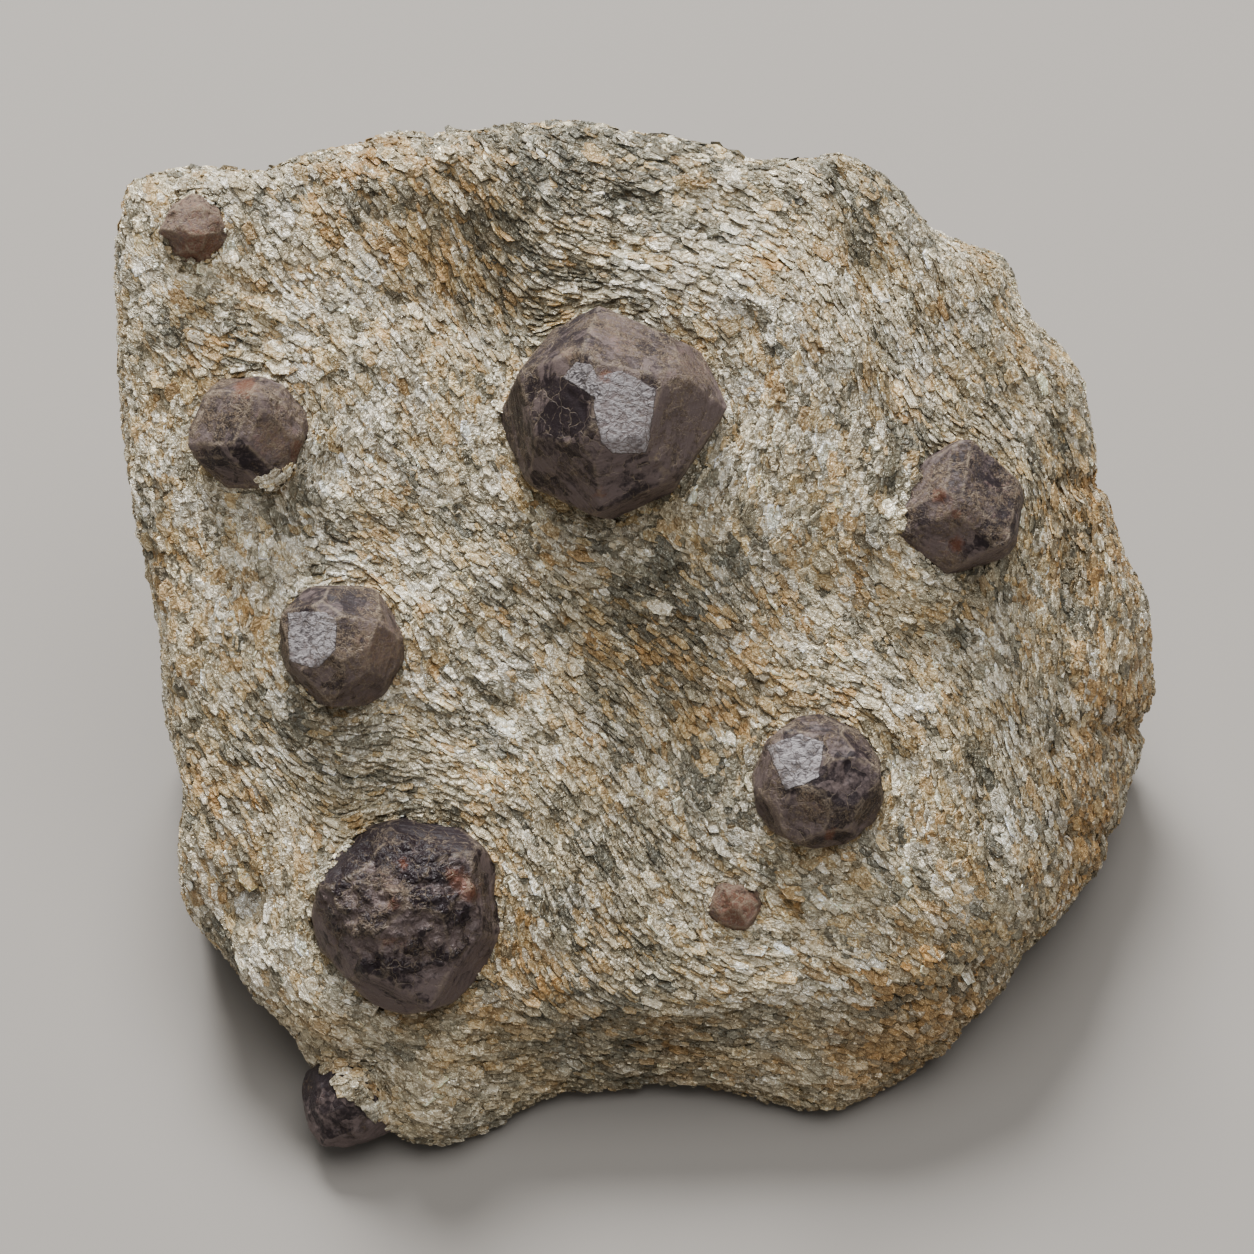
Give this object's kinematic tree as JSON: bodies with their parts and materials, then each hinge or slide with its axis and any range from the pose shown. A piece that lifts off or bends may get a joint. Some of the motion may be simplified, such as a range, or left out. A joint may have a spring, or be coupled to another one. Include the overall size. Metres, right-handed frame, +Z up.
{
  "type": "garnet in mica schist matrix",
  "caption": "Broken block of mica schist with faceted garnet crystals seated in sockets, standing on a flat underside with its crystal face leaning back.",
  "frame": {"origin": "middle of the block's footprint, on the surface that it stands on", "axes": "+Z up, +X to the right along the block's longest side as one faces the garnets, -Y towards the viewer of the garnet face"},
  "size_m": [0.1062, 0.0901, 0.0686],
  "materials": {
    "mica_schist": "scaly foliated schist, silver, dark grey and ochre mica flakes with a pearly glint",
    "garnet": "satin dark purple-brown crystal faces with mica smears and iron stain",
    "rough_garnet": "rough granular purplish red-brown crystal"
  },
  "bodies": {
    "root": {"matrix": "mica_schist", "garnet_centre": "garnet", "garnet_lower_left": "garnet", "garnet_right": "garnet", "garnet_lower_right": "garnet", "garnet_left": "garnet", "garnet_upper_left": "garnet", "garnet_top_left": "rough_garnet", "garnet_small": "rough_garnet", "garnet_bottom": "garnet"}
  },
  "joints": []
}
